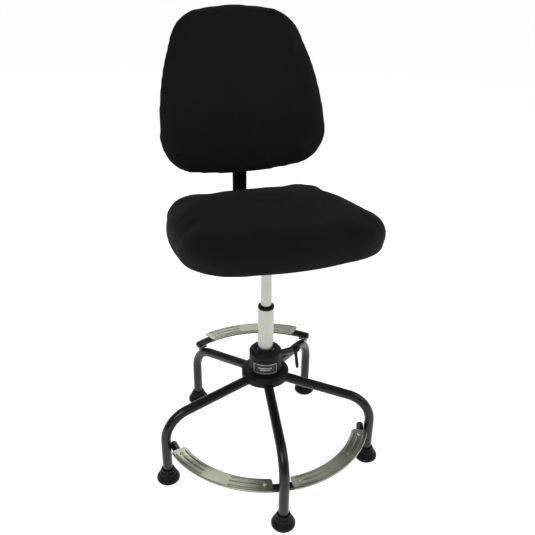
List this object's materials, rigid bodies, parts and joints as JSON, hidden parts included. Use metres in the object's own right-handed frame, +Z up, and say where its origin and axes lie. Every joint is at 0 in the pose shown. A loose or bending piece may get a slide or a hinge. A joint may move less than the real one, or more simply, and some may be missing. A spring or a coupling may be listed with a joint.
{
  "type": "drafting chair",
  "caption": "Drafting chair with a bent-tube base, curved foot rests, clamped gas-lift column, padded swivel seat and a padded back that slides and tilts on a flat steel bar.",
  "frame": {"origin": "on the floor, under the middle of the whole chair; the column axis stands at x = 0.014, y = 0.004", "axes": "+Z up, -Y the way the seat faces, +X to the left of a seated person"},
  "size_m": [0.5985, 0.6162, 1.1493],
  "materials": {
    "black_enamel": "gloss black enamel",
    "black_plastic": "moulded, fine grain",
    "chrome": "satin chrome",
    "zinc": "zinc plated, pressed",
    "badge_plate": "satin with a dark field",
    "nylon": "natural nylon",
    "bare_steel": "turned steel",
    "seat_fabric": "black woven upholstery",
    "plywood": "unfinished plywood"
  },
  "bodies": {
    "base": {"hub_sleeve": "black_enamel", "hub_liner": "nylon", "hub_cover": "black_plastic", "hub_badge": "badge_plate", "clamp_boss": "black_enamel", "leg_1": "black_enamel", "leg_2": "black_enamel", "leg_3": "black_enamel", "leg_4": "black_enamel", "leg_5": "black_enamel", "foot_glide_1": "black_plastic", "foot_glide_2": "black_plastic", "foot_glide_3": "black_plastic", "foot_glide_4": "black_plastic", "foot_glide_5": "black_plastic", "lower_rail": "black_enamel", "upper_rail": "black_enamel", "saddle_left": "black_enamel", "saddle_right": "black_enamel", "lower_tread_left": "zinc", "lower_tread_right": "zinc", "upper_tread": "zinc", "lower_tread_left_screw_1": "zinc", "lower_tread_left_screw_2": "zinc", "lower_tread_right_screw_1": "zinc", "lower_tread_right_screw_2": "zinc", "upper_tread_screw_1": "zinc", "upper_tread_screw_2": "zinc"},
    "clamp": {"clamp_stud": "bare_steel", "clamp_handle": "black_plastic"},
    "column": {"column_tube": "chrome", "guide_bush": "nylon", "column_cap": "black_plastic", "thrust_bearing": "bare_steel"},
    "rod": {"piston_rod": "bare_steel", "retaining_clip": "bare_steel"},
    "seat": {"gas_cylinder": "chrome", "taper_socket": "black_enamel", "mechanism_housing": "black_enamel", "seat_plate": "black_enamel", "seat_pan": "black_plastic", "seat_cushion": "seat_fabric", "seat_bolt_1": "bare_steel", "seat_bolt_2": "bare_steel", "seat_bolt_3": "bare_steel", "seat_bolt_4": "bare_steel", "pivot_pin": "bare_steel", "tilt_spring": "bare_steel"},
    "button": {"release_button": "bare_steel"},
    "gas_lever": {"gas_lever_rod": "black_enamel", "gas_lever_grip": "black_plastic"},
    "back_lever": {"back_lever_rod": "black_enamel", "back_lever_grip": "black_plastic"},
    "back_frame": {"back_bar": "black_enamel"},
    "back": {"back_cushion": "seat_fabric", "back_board": "plywood", "back_shell": "black_plastic", "back_sleeve": "black_enamel"},
    "knob": {"height_knob": "black_plastic"}
  },
  "joints": [
    {"name": "clamp_turn", "type": "hinge", "parent": "base", "child": "clamp", "pos_m": [0.014, 0.004, 0.3], "axis": [0.9881, 0.1539, 0], "range_deg": [-90, 90]},
    {"name": "column_slide", "type": "slide", "parent": "base", "child": "column", "axis": [0, 0, 1], "range_m": [-0.1, 0.05]},
    {"name": "seat_turn", "type": "hinge", "parent": "column", "child": "rod", "pos_m": [0.014, 0.004, 0.2281], "axis": [0, 0, 1], "continuous": true},
    {"name": "seat_lift", "type": "slide", "parent": "rod", "child": "seat", "axis": [0, 0, 1], "range_m": [-0.055, 0.06]},
    {"name": "gas_lever_pull", "type": "hinge", "parent": "seat", "child": "gas_lever", "pos_m": [-0.051, 0.00448, 0.60247], "axis": [0, 0.9945, -0.1048], "range_deg": [0, 3.9], "stiffness_Nm_per_rad": 2},
    {"name": "button_press", "type": "slide", "parent": "seat", "child": "button", "axis": [0, 0, -1], "range_m": [0, 0.0045], "stiffness_N_per_m": 500},
    {"name": "back_lever_pull", "type": "hinge", "parent": "seat", "child": "back_lever", "pos_m": [-0.051, 0.07201, 0.59536], "axis": [0, 0.9945, -0.1048], "range_deg": [0, 6], "stiffness_Nm_per_rad": 2},
    {"name": "back_tilt", "type": "hinge", "parent": "seat", "child": "back_frame", "pos_m": [0.014, 0.10781, 0.59157], "axis": [-1, 0, 0], "range_deg": [-3, 15]},
    {"name": "back_height", "type": "slide", "parent": "back_frame", "child": "back", "axis": [0, 0.2552, 0.9669], "range_m": [-0.02, 0.045]},
    {"name": "knob_turn", "type": "hinge", "parent": "back", "child": "knob", "pos_m": [0.014, 0.26989, 0.89383], "axis": [0, 0.9669, -0.2552], "range_deg": [0, 540]}
  ],
  "couplings": [
    {"joint": "button_press", "follows": "gas_lever_pull", "m_per_rad": 0.065}
  ]
}
